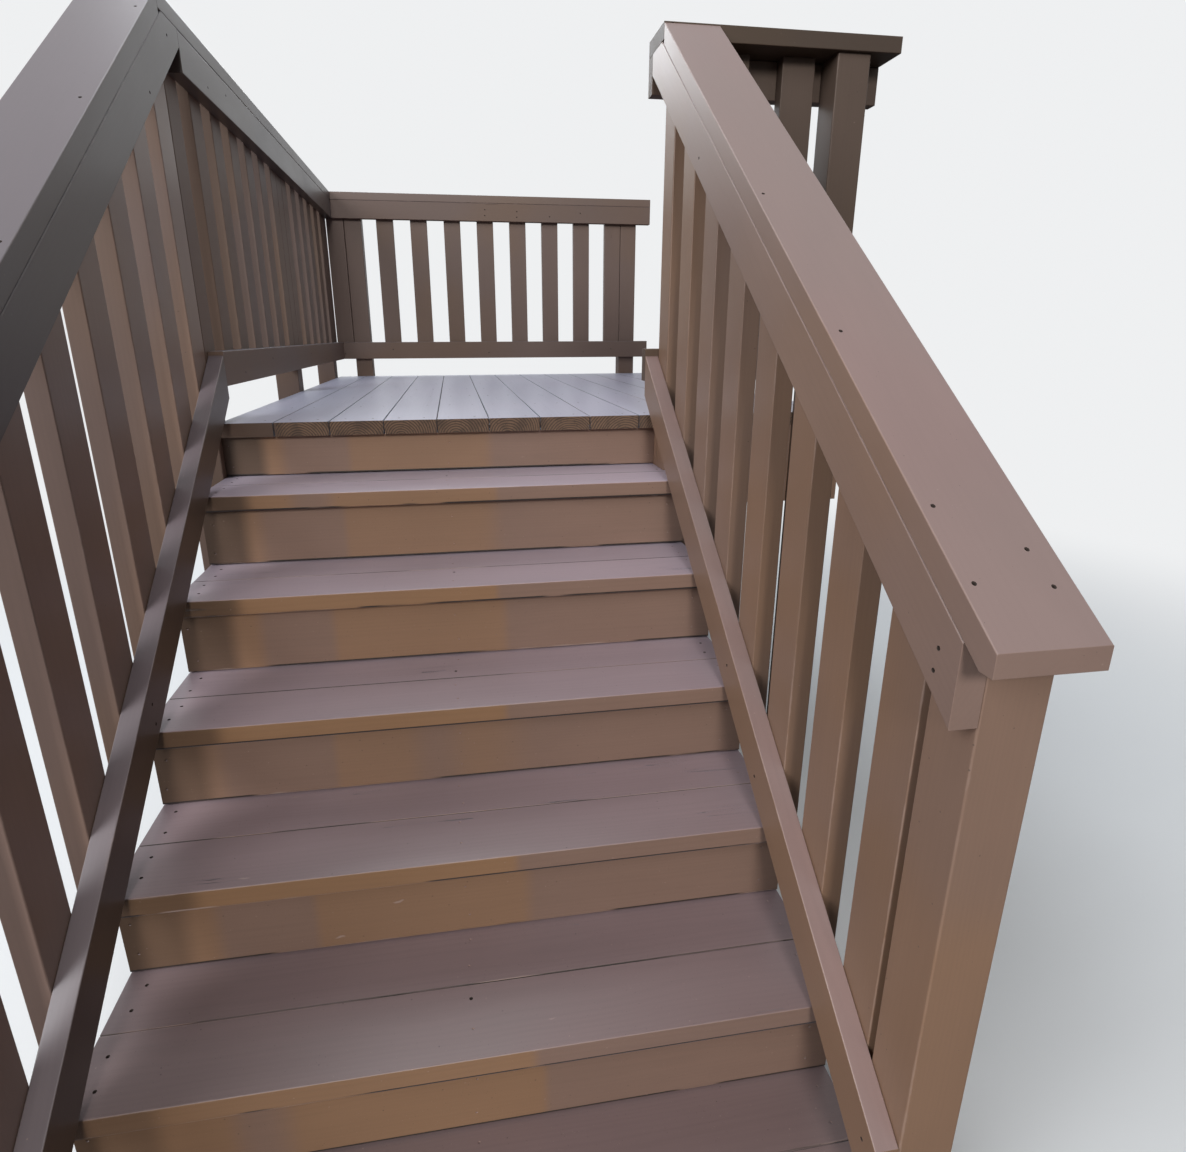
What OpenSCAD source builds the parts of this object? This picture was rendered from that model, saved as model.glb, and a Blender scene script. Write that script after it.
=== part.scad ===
// Timber deck stairs: a closed-riser flight between board guards, up to a landing on posts.
// X runs across the flight to the open side of the landing, Y runs up the flight, Z is up.

/* [Flight] */
// Height from one tread to the next
step_h = 180; // [165:1:195]
// Depth from one nosing to the next
step_d = 240; // [225:1:260]
// Height from the top tread to the landing
top_step_h = 147; // [130:1:180]
// Width over the stringers
flight_w = 1204; // [1000:1:1300]
// How far treads and risers run past the right-hand stringer
overhang = 24; // [10:1:36]
// How far a tread stands out past the riser under it
nosing = 24; // [20:1:30]
// Gap between the two boards of a tread
tread_gap = 1.5; // [1:0.5:6]
// Gap under each riser board
riser_gap = 3; // [1:0.5:5]

/* [Lumber] */
// Thickness of treads, rails, joists, balusters and deck boards
board_t = 38; // [36:0.5:40]
// Thickness of the riser boards
riser_t = 19; // [16:0.5:22]
// Width of a deck board
deck_board_w = 141.5; // [120:0.5:145]
// Depth of the rims and joists
joist_w = 235; // [220:1:240]
// Depth of the board that a stringer is cut from
stringer_w = 286; // [270:1:300]
// Width of the square posts
post_w = 89; // [80:1:100]
// Width of the rails on edge
rail_w = 89; // [80:1:95]
// Width of the flat cap
cap_w = 140; // [134:1:150]

/* [Landing] */
// Width of the landing
landing_w = 1791; // [1700:1:1850]
// Depth of the landing
landing_d = 2300; // [2200:1:2400]
// Gap between deck boards
deck_gap = 2.5; // [2:0.5:6]
// Number of joists between the front and back rims
joist_count = 5; // [4:1:7]

/* [Guards] */
// Cap underside above the landing
level_rail_h = 898; // [870:1:930]
// Lower rail above the line through the nosings
rake_foot = 16; // [12:1:40]
// Lower rail above the landing
level_foot = 95; // [80:1:100]
// Newel face behind the lowest nosing
newel_setback = 28; // [20:1:40]
// Cap end past the newel face
cap_reach = 51; // [40:1:60]
// Top of the raked cap below the top of the level cap where they meet
cap_step = 4; // [2:0.5:8]
// Front post of the long guard, ahead of the top nosing
corner_post_lead = 2; // [0:1:10]
// Middle post of the long guard, from the top nosing
mid_post_y = 1139; // [1080:1:1180]
// End post of the back guard, in from the open side
back_post_inset = 100; // [90:1:120]
// End post of the front guard, in from the open side
front_post_inset = 79; // [70:1:90]
// Back rails short of the open side
back_rail_short = 30; // [10:1:40]
// Front rails short of the open side
front_rail_short = 5; // [2:1:20]
// Rail joint behind the top nosing on the long guard
rail_joint_y = 18; // [10:1:30]

/* [Balusters] */
// Width of a baluster board
baluster_w = 89; // [80:1:92]
// Widest gap between balusters
widest_gap = 90; // [85:1:95]
// Gap beside a post where the balusters start wide
open_gap = 88; // [80:1:90]
// Gap where a baluster stands close to a post
tight_gap = 2; // [2:0.5:8]
// Gap between a newel and its first baluster
newel_gap = 13; // [8:1:20]
// First gap of the back guard
back_first_gap = 78; // [70:1:85]
// First and last gaps of the front guard
front_first_gap = 28; // [20:1:35]
front_last_gap = 35; // [25:1:40]

/* [Hidden] */

tread_count = 6;
tread_brown = [0.42, 0.32, 0.30];
riser_brown = [0.40, 0.27, 0.21];
rail_brown = [0.36, 0.25, 0.22];
frame_brown = [0.31, 0.21, 0.18];
notch_clearance = 1;

// Heights of the flight and of the landing
slope = step_h / step_d;
on_rake = sqrt(1 + slope * slope);
tread_d = step_d + nosing + riser_t;
tread_board_w = (tread_d - tread_gap) / 2;
deck_z = tread_count * step_h + top_step_h;
frame_top_z = deck_z - board_t;
frame_low_z = frame_top_z - joist_w;

// Depth from the top nosing to the face that the frame, the top riser and the fascia share
frame_y = nosing + riser_t;
fascia_y = frame_y - board_t;

// Heights of the guards
level_seam_z = deck_z + level_rail_h;
level_low_z = deck_z + level_foot;
level_cap_y = frame_y - cap_w;
rake_meets_level_y = level_cap_y + (board_t * on_rake + cap_step - board_t) / slope;

// Places of posts, rail ends and caps
newel_y = newel_setback - step_d * tread_count;
stair_top_post_y = fascia_y - post_w;
left_post_ys = [
    -corner_post_lead,
    mid_post_y,
    landing_d - baluster_w - tight_gap - post_w
];
back_post_x = 2 * tight_gap + baluster_w;
back_end_post_x = landing_w - back_post_inset - post_w;
front_end_post_x = landing_w - front_post_inset - post_w;
guard_inner_y = landing_d - board_t;
cap_outer_x = board_t - cap_w;
cap_outer_y = guard_inner_y + cap_w;
cap_low_y = newel_y - cap_reach;

// Middle of the overall box, which the origin stands under
mid_x = (cap_outer_x + landing_w) / 2;
mid_y = (cap_low_y + cap_outer_y) / 2;

// Tread k counts down from the landing
function tread_z(k) = (tread_count + 1 - k) * step_h;
function tread_y(k) = -step_d * k;
function cut_y(k) = tread_y(k) + frame_y;
function nosing_line_z(y) = tread_z(0) + slope * y;
function seam_z(y) = level_seam_z + slope * (y - rake_meets_level_y);
function foot_z(y) = nosing_line_z(y) + rake_foot;

// Fronts of evenly spaced balusters in a bay from a to b, as many as keep to the widest gap
function bay(a, b, first_gap, last_gap) =
    let (reach = b - a - first_gap - last_gap - baluster_w)
    let (steps = max(1, ceil(reach / (baluster_w + widest_gap))))
    [for (i = [0 : steps]) a + first_gap + i * reach / steps];

stair_fronts = bay(newel_y + post_w, stair_top_post_y, newel_gap, open_gap);
stair_left_last = left_post_ys[0] - tight_gap - baluster_w;
left_fronts = concat(
    bay(left_post_ys[0] + post_w, left_post_ys[1], open_gap, tight_gap),
    bay(left_post_ys[1] + post_w, left_post_ys[2], tight_gap, open_gap),
    [landing_d - baluster_w]
);
back_fronts = concat(
    [tight_gap],
    bay(back_post_x + post_w, back_end_post_x, back_first_gap, tight_gap)
);
front_fronts = bay(flight_w + post_w, front_end_post_x, front_first_gap, front_last_gap);

// A square-cut piece between two places on each axis
module block(x, y, z) {
    translate([x[0], y[0], z[0]])
        cube([x[1] - x[0], y[1] - y[0], z[1] - z[0]]);
}

// A piece cut to an outline of depth and height, between two places across the flight
module side_cut(x, outline) {
    translate([x[0], 0, 0])
        rotate([90, 0, 90])
            linear_extrude(x[1] - x[0])
                polygon(outline);
}

module centred() {
    translate([-mid_x, -mid_y, 0])
        children();
}

// The right-hand side of the flight is the left-hand side mirrored
module right_hand() {
    translate([flight_w, 0, 0])
        mirror([1, 0, 0])
            children();
}

// Flight
module stringer(x) {
    low_edge = tread_z(1) - board_t - stringer_w * on_rake;
    steps = [for (k = [tread_count : -1 : 1]) each [
        [cut_y(k), tread_z(k) - board_t],
        [cut_y(k - 1), tread_z(k) - board_t]
    ]];
    foot_back_y = cut_y(1) - low_edge / slope;
    outline = concat(
        [[foot_back_y, 0], [cut_y(tread_count), 0]],
        steps,
        [[frame_y, low_edge + slope * (frame_y - cut_y(1))]]
    );
    color(frame_brown)
        side_cut([x, x + board_t], outline);
}

// The end past the stringer is cut away at the newel, and from the stair-top post back
module tread(k) {
    color(tread_brown)
        difference() {
            for (y = [tread_y(k), tread_y(k) + tread_board_w + tread_gap])
                block(
                    [0, flight_w + overhang],
                    [y, y + tread_board_w],
                    [tread_z(k) - board_t, tread_z(k)]
                );
            for (y = [[newel_y, newel_y + post_w], [stair_top_post_y, frame_y]])
                block(
                    [flight_w, flight_w + post_w],
                    [y[0] - notch_clearance, y[1] + notch_clearance],
                    [0, deck_z]
                );
        }
}

// The top riser ends at the fascia, the lowest at the newel, the others with the treads
module risers() {
    color(riser_brown)
        for (k = [0 : tread_count]) {
            top_z = k == 0 ? frame_top_z : tread_z(k) - board_t;
            face_y = tread_y(k) + nosing;
            end_x = k == 0 || k == tread_count ? flight_w : flight_w + overhang;
            block([0, end_x], [face_y, face_y + riser_t], [tread_z(k + 1) + riser_gap, top_z]);
        }
}

// Landing
module deck_boards() {
    pitch = deck_board_w + deck_gap;
    color(tread_brown)
        difference() {
            for (x = [0 : pitch : landing_w - 1])
                block([x, min(x + deck_board_w, landing_w)], [0, landing_d], [frame_top_z, deck_z]);
            for (x = [flight_w, front_end_post_x])
                block(
                    [x - notch_clearance, x + post_w + notch_clearance],
                    [-board_t, fascia_y],
                    [frame_top_z - board_t, deck_z + board_t]
                );
        }
}

module frame_board(x, y) {
    color(frame_brown)
        block(x, y, [frame_low_z, frame_top_z]);
}

module joists() {
    bay_y = landing_d - frame_y - 2 * board_t;
    pitch = (bay_y - board_t * joist_count) / (joist_count + 1) + board_t;
    for (i = [1 : joist_count]) {
        y = frame_y + i * pitch;
        frame_board([board_t, landing_w - board_t], [y, y + board_t]);
    }
}

// Posts
module newel() {
    back_y = newel_y + post_w;
    color(frame_brown)
        side_cut([-post_w, 0], [
            [newel_y, 0],
            [back_y, 0],
            [back_y, seam_z(back_y)],
            [newel_y, seam_z(newel_y)]
        ]);
}

module post(x, y) {
    color(frame_brown)
        block([x, x + post_w], [y, y + post_w], [0, level_seam_z]);
}

// Guards beside the flight, drawn on the left-hand side
// The cap ends plumb, over a level heel
module rake_cap() {
    drop = board_t / on_rake;
    end_y = cap_low_y + drop * slope;
    color(rail_brown)
        side_cut([cap_outer_x, board_t], [
            [cap_low_y, seam_z(end_y)],
            [end_y, seam_z(end_y)],
            [level_cap_y, seam_z(level_cap_y)],
            [level_cap_y, seam_z(level_cap_y) + board_t * on_rake],
            [cap_low_y, seam_z(end_y) + drop]
        ]);
}

module rake_sub_rail(end_y) {
    depth = rail_w * on_rake;
    color(rail_brown)
        side_cut([0, board_t], [
            [newel_y, seam_z(newel_y) - depth],
            [end_y, seam_z(end_y) - depth],
            [end_y, level_seam_z],
            [rake_meets_level_y, level_seam_z],
            [newel_y, seam_z(newel_y)]
        ]);
}

module rake_bottom_rail(end_y) {
    depth = rail_w * on_rake;
    color(rail_brown)
        side_cut([0, board_t], [
            [newel_y, foot_z(newel_y)],
            [end_y, foot_z(end_y)],
            [end_y, foot_z(end_y) + depth],
            [newel_y, foot_z(newel_y) + depth]
        ]);
}

module rake_baluster(y) {
    back_y = y + baluster_w;
    color(rail_brown)
        if (back_y > rake_meets_level_y)
            side_cut([-board_t, 0], [
                [y, foot_z(y)],
                [back_y, foot_z(back_y)],
                [back_y, level_seam_z],
                [rake_meets_level_y, level_seam_z],
                [y, seam_z(y)]
            ]);
        else
            side_cut([-board_t, 0], [
                [y, foot_z(y)],
                [back_y, foot_z(back_y)],
                [back_y, seam_z(back_y)],
                [y, seam_z(y)]
            ]);
}

// Guards around the landing
module level_cap(x, y) {
    color(rail_brown)
        block(x, y, [level_seam_z, level_seam_z + board_t]);
}

module level_sub_rail(x, y) {
    color(rail_brown)
        block(x, y, [level_seam_z - rail_w, level_seam_z]);
}

module level_bottom_rail(x, y) {
    color(rail_brown)
        block(x, y, [level_low_z, level_low_z + rail_w]);
}

module level_baluster(x, y) {
    color(rail_brown)
        block(x, y, [level_low_z, level_seam_z]);
}

back_rail_x = [board_t, landing_w - back_rail_short];
back_rail_y = [guard_inner_y, landing_d];
front_rail_x = [flight_w - board_t, landing_w - front_rail_short];
front_rail_y = [fascia_y, frame_y];

centred() stringer(0);  // stringer_left
centred() stringer((flight_w - board_t) / 2);  // stringer_center
centred() stringer(flight_w - board_t);  // stringer_right
centred() tread(1);  // tread_1
centred() tread(2);  // tread_2
centred() tread(3);  // tread_3
centred() tread(4);  // tread_4
centred() tread(5);  // tread_5
centred() tread(6);  // tread_6
centred() risers();
centred() deck_boards();
centred() frame_board([board_t, landing_w - board_t], [frame_y, frame_y + board_t]);  // rim_front
centred() frame_board([board_t, landing_w - board_t], [guard_inner_y, landing_d]);  // rim_back
centred() frame_board([0, board_t], [frame_y, landing_d]);  // rim_left
centred() frame_board([landing_w - board_t, landing_w], [frame_y, landing_d]);  // rim_right
centred() joists();
centred() frame_board([flight_w, landing_w], [fascia_y, frame_y]);  // front_fascia
centred() newel();  // newel_left
centred() right_hand() newel();  // newel_right
centred() for (y = left_post_ys) post(-post_w, y);  // posts_left
centred() post(back_post_x, landing_d);  // post_back_left
centred() post(back_end_post_x, landing_d);  // post_back_right
centred() post(front_end_post_x, stair_top_post_y);  // post_front_right
centred() post(flight_w, stair_top_post_y);  // post_stair_top
centred() rake_cap();  // stair_left_cap
centred() rake_sub_rail(rail_joint_y);  // stair_left_sub_rail
centred() rake_bottom_rail(rail_joint_y);  // stair_left_bottom_rail
centred() for (y = concat(stair_fronts, [stair_left_last])) rake_baluster(y);  // stair_left_balusters
centred() right_hand() rake_cap();  // stair_right_cap
centred() right_hand() rake_sub_rail(fascia_y);  // stair_right_sub_rail
centred() right_hand() rake_bottom_rail(fascia_y);  // stair_right_bottom_rail
centred() right_hand() for (y = stair_fronts) rake_baluster(y);  // stair_right_balusters
centred() level_cap([cap_outer_x, board_t], [level_cap_y, cap_outer_y]);  // landing_left_cap
centred() level_sub_rail([0, board_t], [rail_joint_y, landing_d]);  // landing_left_sub_rail
centred() level_bottom_rail([0, board_t], [rail_joint_y, landing_d]);  // landing_left_bottom_rail
centred() for (y = left_fronts) level_baluster([-board_t, 0], [y, y + baluster_w]);  // landing_left_balusters
centred() level_cap(back_rail_x, [guard_inner_y, cap_outer_y]);  // landing_back_cap
centred() level_sub_rail(back_rail_x, back_rail_y);  // landing_back_sub_rail
centred() level_bottom_rail(back_rail_x, back_rail_y);  // landing_back_bottom_rail
centred() for (x = back_fronts) level_baluster([x, x + baluster_w], [landing_d, landing_d + board_t]);  // landing_back_balusters
centred() level_cap(front_rail_x, [level_cap_y, frame_y]);  // front_right_cap
centred() level_sub_rail(front_rail_x, front_rail_y);  // front_right_sub_rail
centred() level_bottom_rail(front_rail_x, front_rail_y);  // front_right_bottom_rail
centred() for (x = front_fronts) level_baluster([x, x + baluster_w], [fascia_y - board_t, fascia_y]);  // front_right_balusters
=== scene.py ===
"""Painted timber deck stairs: boards with eased arrises, screws, paint and a plain studio."""

import math
import random
from functools import cache

import bmesh
import bpy
from mathutils import Matrix, Vector


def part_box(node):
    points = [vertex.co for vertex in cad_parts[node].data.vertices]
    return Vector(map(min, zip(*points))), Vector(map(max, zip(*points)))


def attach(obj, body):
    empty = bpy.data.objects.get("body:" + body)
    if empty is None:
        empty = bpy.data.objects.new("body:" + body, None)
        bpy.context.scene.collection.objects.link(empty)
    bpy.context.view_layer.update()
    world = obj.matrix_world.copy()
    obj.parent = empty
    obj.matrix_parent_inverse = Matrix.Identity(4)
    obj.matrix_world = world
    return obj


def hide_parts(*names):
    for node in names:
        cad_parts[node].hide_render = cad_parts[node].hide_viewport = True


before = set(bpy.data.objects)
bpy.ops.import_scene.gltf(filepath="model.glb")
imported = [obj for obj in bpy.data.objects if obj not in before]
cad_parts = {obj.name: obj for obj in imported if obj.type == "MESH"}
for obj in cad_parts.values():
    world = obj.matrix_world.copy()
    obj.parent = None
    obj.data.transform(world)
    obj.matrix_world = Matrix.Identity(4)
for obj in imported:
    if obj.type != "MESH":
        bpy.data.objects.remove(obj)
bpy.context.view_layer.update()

bl_info = {
    "name": "Deck Stairs",
    "version": (1, 0, 0),
    "blender": (4, 5, 0),
    "location": "View3D > Sidebar > Deck Stairs",
    "description": "Paint, screws, end grain and stage for timber deck stairs",
    "category": "Mesh",
}

# Directions that a board can run in or be cut to
ACROSS = Vector((1, 0, 0))
UP_THE_FLIGHT = Vector((0, 1, 0))
PLUMB = Vector((0, 0, 1))
RAKE = (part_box("tread_1")[1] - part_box("tread_6")[1]).normalized()
RAKE_UP = ACROSS.cross(RAKE)
CUTS = (ACROSS, UP_THE_FLIGHT, PLUMB, RAKE, RAKE_UP)

TREADS = tuple(f"tread_{number}" for number in range(1, 7))
STRINGERS = ("stringer_left", "stringer_center", "stringer_right")
RIMS = ("rim_front", "rim_back", "rim_left", "rim_right")
POSTS = (
    "newel_left", "newel_right", "posts_left", "post_back_left",
    "post_back_right", "post_front_right", "post_stair_top",
)
# Posts that stand through the deck boards
DECK_POSTS = ("post_stair_top", "post_front_right")
# Each guard's rails run along the first direction, and their screws face the second
GUARDS = {
    "stair_left": (RAKE, ACROSS),
    "stair_right": (RAKE, -ACROSS),
    "landing_left": (UP_THE_FLIGHT, ACROSS),
    "landing_back": (ACROSS, -UP_THE_FLIGHT),
    "front_right": (ACROSS, UP_THE_FLIGHT),
}

# Making the boards, in metres
WELD = 1e-5  # points of a CAD node closer than this are one
SQUARE = 0.01  # two directions are square where their dot product is under this
ALIGNED = 0.999  # and run the same way where it is over this
BLANK = 20  # the side of the cube that a board is cut from
CLOSE_BOARD = 0.004  # an edge nearer than this to another board is a close joint
SEAM_REACH = 0.0035  # how far out of a board its neighbour is looked for
SCREW_SLACK = 0.0015  # how far off a board its own screws may lie
SHARP_ANGLE = math.radians(40)
FLAT_ANGLE = math.radians(1)
# The dark line is a dark joint along a riser's foot, and a painted shadow along a nosing's foot
FOOT_LINE = 0.0042  # height of the dark line along a riser's or nosing's foot
BARE_FROM = 0.13  # deck boards have bare ends from this far right of the left stringer
# What fills the joint of a tread: in from its left end, below its top at the bottom and at the top
TREAD_FILL = (0.0015, 0.006, 0.0009)
# What fills the joints of the deck: in from both ends, below the top at the bottom and at the top
DECK_FILL = (0.003, 0.022, 0.003)

# Holes and heads of screws
PIT_ABOVE = 0.001  # how far a hole's cutter stands out of the face
PIT_TAPER = (0.36, 0.62)  # radius of a hole at its bottom and top, as shares of its width
# Width and depth of a screw's hole, as shares of an open one
PIT_SHARES = {"dark": (1.0, 1.0), "bright": (0.85, 0.5), "painted": (0.85, 0.55)}
HEAD_DEPTH = 0.0022
HEAD_TAPER = (0.5, 0.22)  # radius of a head at its top and bottom, as shares of its width
HEAD_SLOT = (0.62, 0.15)  # length and width of each bar of its cross, as shares of its width
SCREW_SEED = 5

# Where screws go. In a tread: from its front edge, then each stringer's shift and share of open holes
TREAD_ROWS = (0.048, 0.107, 0.178, 0.236)
TREAD_LINES = ((0.015, 1.0), (-0.003, 0.1), (0.008, 0.25))
# In a riser: how they look at each stringer, and their heights as shares of half the board
RISER_STATES = ("bright", "painted", "bright")
RISER_HEIGHTS = (-0.52, 0.52)
DECK_OPEN_SHARE = 0.6
LEVEL_CAP_START = 0.35  # from a level cap's end to its first screw, as a share of their spacing
# Along each raked cap from its low end, and the two into its newel with their shift from the middle
RAKED_CAP_ROWS = {
    "stair_left": (0.31, 0.75, 1.20, 1.62),
    "stair_right": (0.109, 0.215, 0.554, 0.938, 1.728),
}
NEWEL_ROWS = ((0.098, 0.027), (0.151, 0.0243))
# At each baluster: the shift along the rail, and the height as a share of half the rail
RAIL_ROWS = ((-0.004, -0.40), (-0.006, 0.16))

# The nodes of each paint; what isn't named here has the rail paint
PAINTED = {
    "Tread Paint": TREADS,
    "Riser Paint": ("risers",),
    "Deck Paint": ("deck_boards",),
    "Frame Paint": RIMS + ("joists", "front_fascia") + STRINGERS,
    # Every rail and cap paint but the plain Rail Paint is a lit or shaded copy of it: painted light and
    # painted shade
    "Lit Rail Paint": ("stair_right_sub_rail", "stair_left_balusters"),
    "Cool Rail Paint": ("stair_left_sub_rail", "landing_left_sub_rail"),
    "Low Rail Paint": ("stair_left_bottom_rail",),
    "Shaded Rail Paint": (
        "landing_left_bottom_rail", "landing_left_balusters", "landing_back_sub_rail",
        "landing_back_bottom_rail", "landing_back_balusters",
        "posts_left", "post_back_left", "post_back_right",
    ),
    "Sheltered Rail Paint": (
        "front_right_sub_rail", "front_right_bottom_rail", "front_right_balusters", "post_front_right",
    ),
    "Cap Paint": ("stair_right_cap",),
    "Cool Cap Paint": ("stair_left_cap", "landing_left_cap"),
    "Shaded Cap Paint": ("landing_back_cap",),
    "Sheltered Cap Paint": ("front_right_cap",),
}
# How much grain, cracks and specks show through the paint of a rail and of a cap
ON_RAILS = (0.16, 0.12, 0.05)
ON_CAPS = (0.08, 0.10, 0.04)
# Each paint: colour at the sides and on top, how much grain, cracks and specks show, wear of the edges,
# roughness, specular level, how much more the low edges are rubbed as a painted highlight along a cap's
# lower edge, sheen
PAINTS = {
    "Tread Paint": ("riser", "tread", (0.24, 0.45, 0.22), 0.45, 0.40, 0.5, 1.0, 0.32),
    "Riser Paint": ("riser", "tread", (0.20, 0.18, 0.30), 0.55, 0.42, 0.5, 1.0, 0.0),
    "Deck Paint": ("riser", "deck", (0.30, 0.50, 0.35), 0.40, 0.36, 0.5, 1.0, 0.40),
    "Frame Paint": ("riser", "riser", (0.35, 0.50, 0.30), 0.30, 0.50, 0.5, 1.0, 0.0),
    "Rail Paint": ("rail", "cap", ON_RAILS, 0.45, 0.38, 0.5, 1.0, 0.0),
    "Lit Rail Paint": ("lit", "cap", ON_RAILS, 0.45, 0.38, 0.5, 1.0, 0.0),
    "Cool Rail Paint": ("cool", "cool_cap", ON_RAILS, 0.30, 0.36, 0.5, 1.0, 0.0),
    "Low Rail Paint": ("low_rail", "low_rail_top", ON_RAILS, 0.30, 0.34, 0.6, 1.0, 0.0),
    "Shaded Rail Paint": ("shaded", "cool_cap", ON_RAILS, 0.30, 0.50, 0.25, 1.0, 0.0),
    "Sheltered Rail Paint": ("sheltered", "sheltered", ON_RAILS, 0.20, 0.50, 0.25, 1.0, 0.0),
    "Cap Paint": ("lit", "cap", ON_CAPS, 0.22, 0.40, 0.5, 4.0, 0.0),
    "Cool Cap Paint": ("cool_cap_side", "cool_cap", ON_CAPS, 0.20, 0.36, 0.5, 2.0, 0.0),
    "Shaded Cap Paint": ("shaded", "cool_cap", ON_CAPS, 0.20, 0.45, 0.3, 2.0, 0.0),
    "Sheltered Cap Paint": ("sheltered_cap", "sheltered_cap", ON_CAPS, 0.20, 0.50, 0.25, 1.0, 0.0),
}
# Paints that take the painted sunlight bands, the painted shade and the painted light that grows up the
# flight
BANDED = ("Tread Paint", "Riser Paint")
BARE_ENDED = ("Deck Paint",)


# Settings


def length(label, description, default, low, high):
    """A size in metres."""
    return bpy.props.FloatProperty(
        name=label, description=description, default=default, min=low, max=high,
        subtype="DISTANCE", unit="LENGTH",
    )


def share(label, description, default, low=0.0):
    """A part of the whole."""
    return bpy.props.FloatProperty(
        name=label, description=description, default=default, min=low, max=1.0, subtype="FACTOR",
    )


def colour(label, description, default):
    """A linear colour."""
    return bpy.props.FloatVectorProperty(
        name=label, description=description, default=default, min=0.0, max=1.0,
        subtype="COLOR", size=3,
    )


def lamp_level(label, description, default):
    """How strongly a lamp lights a white face turned towards it."""
    return bpy.props.FloatProperty(name=label, description=description, default=default, min=0.0, max=2.0)


class BoardSizes(bpy.types.PropertyGroup):
    """How the sawn boards are finished"""

    arris: length("Arris radius", "Rounding along a board's long edges", 0.0022, 0.001, 0.008)
    post_arris: length("Post arris radius", "Rounding along a post's long edges", 0.0032, 0.001, 0.01)
    thin_arris: length(
        "Riser arris radius", "Rounding along the edges of risers and stringers", 0.0015, 0.0005, 0.008,
    )
    cut_share: share(
        "Cut edge share", "Rounding of a sawn end or a close joint as a share of the arris", 0.30, 0.05,
    )
    joint: length(
        "Joint", "How far each face stands back from the face it meets", 0.0002, 0.0001, 0.001,
    )


class PaintColours(bpy.types.PropertyGroup):
    """Paint and bare wood, with lit and shaded copies of the paint as painted light and painted shade"""

    # Painted sky light: the mauve of the tread tops stands for sky light and reflection on the brown paint
    tread: colour("Tread paint", "Mauve paint on top of the lowest treads", (0.176, 0.122, 0.114))
    # Painted light: the tops of the highest treads are paler because more light reaches them there
    upper_lit_tread: colour(
        "Bleached tread paint", "Paler paint on top of the highest treads, which the sun reaches",
        (0.425, 0.311, 0.338),
    )
    # Painted reflection: the pale lavender of the deck tops stands for sky reflected at a low angle
    deck: colour(
        "Deck paint", "Weathered lavender paint on top of the deck boards", (0.338, 0.288, 0.328),
    )
    # Painted sky light: the paler mauve of the cap and rail tops stands for sky light on the brown paint
    cap: colour("Cap paint", "Weathered paint on top of the caps and rails", (0.230, 0.160, 0.146))
    # Painted shade: a darker, greyer copy of the cap colour, on top of the left guard's caps and of the
    # rails and caps in shade
    cool_cap: colour(
        "Left cap paint", "Greyer paint on top of the left guard's caps", (0.122, 0.106, 0.116),
    )
    # Painted shade: a darker copy of the rail paint for the landing guards and posts that stand in shade
    shaded: colour(
        "Shaded rail paint", "Darker paint of the rails and posts that the sun hasn't bleached",
        (0.150, 0.104, 0.088),
    )
    # Painted reflection: a pinker, bluer copy of the rail paint for the faces that catch the sky's
    # reflection
    lit: colour(
        "Lit rail paint", "Pinker brown of the rails that catch the light", (0.221, 0.149, 0.124),
    )
    # Painted shade: a dark cool copy of the rail paint for the left guard's sub-rails, which face away from
    # the light
    cool: colour(
        "Left rail paint", "Dark cool brown of the rails under the left guard's caps",
        (0.072, 0.058, 0.059),
    )
    # Painted shade: a dark copy of the rail paint on the sides of the left lower rail
    low_rail: colour(
        "Low rail paint", "Dark brown on the sides of the raked lower rail of the left guard",
        (0.080, 0.057, 0.049),
    )
    # Painted reflection: the lavender top of the left lower rail stands for reflected sky
    low_rail_top: colour(
        "Low rail top paint", "Weathered lavender on top of the same rail", (0.156, 0.128, 0.136),
    )
    # Painted shade: a dark copy of the rail paint on the sides of the left guard's caps
    cool_cap_side: colour(
        "Left cap side paint", "Slate brown on the sides of the left guard's caps",
        (0.073, 0.059, 0.060),
    )
    # Painted shade: the darkest copy of the rail paint, for the short guard right of the flight, which
    # stands in deep shade
    sheltered: colour(
        "Sheltered rail paint", "Darkest paint, on the short guard right of the flight",
        (0.090, 0.062, 0.048),
    )
    # Painted shade: the darkest copy of the cap paint, for the short guard's cap
    sheltered_cap: colour(
        "Sheltered cap paint", "Darkest paint, on the cap of the short guard", (0.060, 0.041, 0.030),
    )
    riser: colour(
        "Riser paint", "Warm brown paint of the risers and nosings", (0.212, 0.134, 0.101),
    )
    rail: colour("Rail paint", "Brown paint of the rails, posts and balusters", (0.218, 0.139, 0.103))
    # Worn paint is also the colour of the painted highlight along a cap's lower edge
    worn: colour("Worn paint", "Rubbed paint on arrises and where feet fall", (0.36, 0.27, 0.24))
    # Grime is also the colour of painted shade: at the left end of the flight, along the nosings' feet, on
    # the painted deck board ends and in screw holes
    grime_and_shade: colour("Grime", "Dirt in cracks, joints and screw holes", (0.030, 0.021, 0.017))
    bare: colour("Bare wood", "Weathered wood on unpainted board ends", (0.185, 0.112, 0.070))
    steel: colour("Screw steel", "Plated steel of the screw heads", (0.42, 0.38, 0.34))


class ScrewSizes(bpy.types.PropertyGroup):
    """Screws and where they go"""

    head: length("Head diameter", "Width of a screw head", 0.0056, 0.004, 0.012)
    sunk: length("Sunk depth", "Depth of a screw head below the face", 0.0009, 0.0003, 0.003)
    pit: length("Hole diameter", "Width of the hole around a sunk head", 0.0061, 0.005, 0.014)
    pit_depth: length("Hole depth", "Depth of the hole around a sunk head", 0.0022, 0.001, 0.004)
    edge: length("Edge distance", "From a board's long edge to its screws", 0.034, 0.02, 0.05)
    shown: share("Shown in rails", "Share of the rail screws that the paint hasn't filled", 0.2)
    spacing: length("Cap spacing", "Between the screws along a cap", 0.385, 0.25, 0.6)


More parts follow.
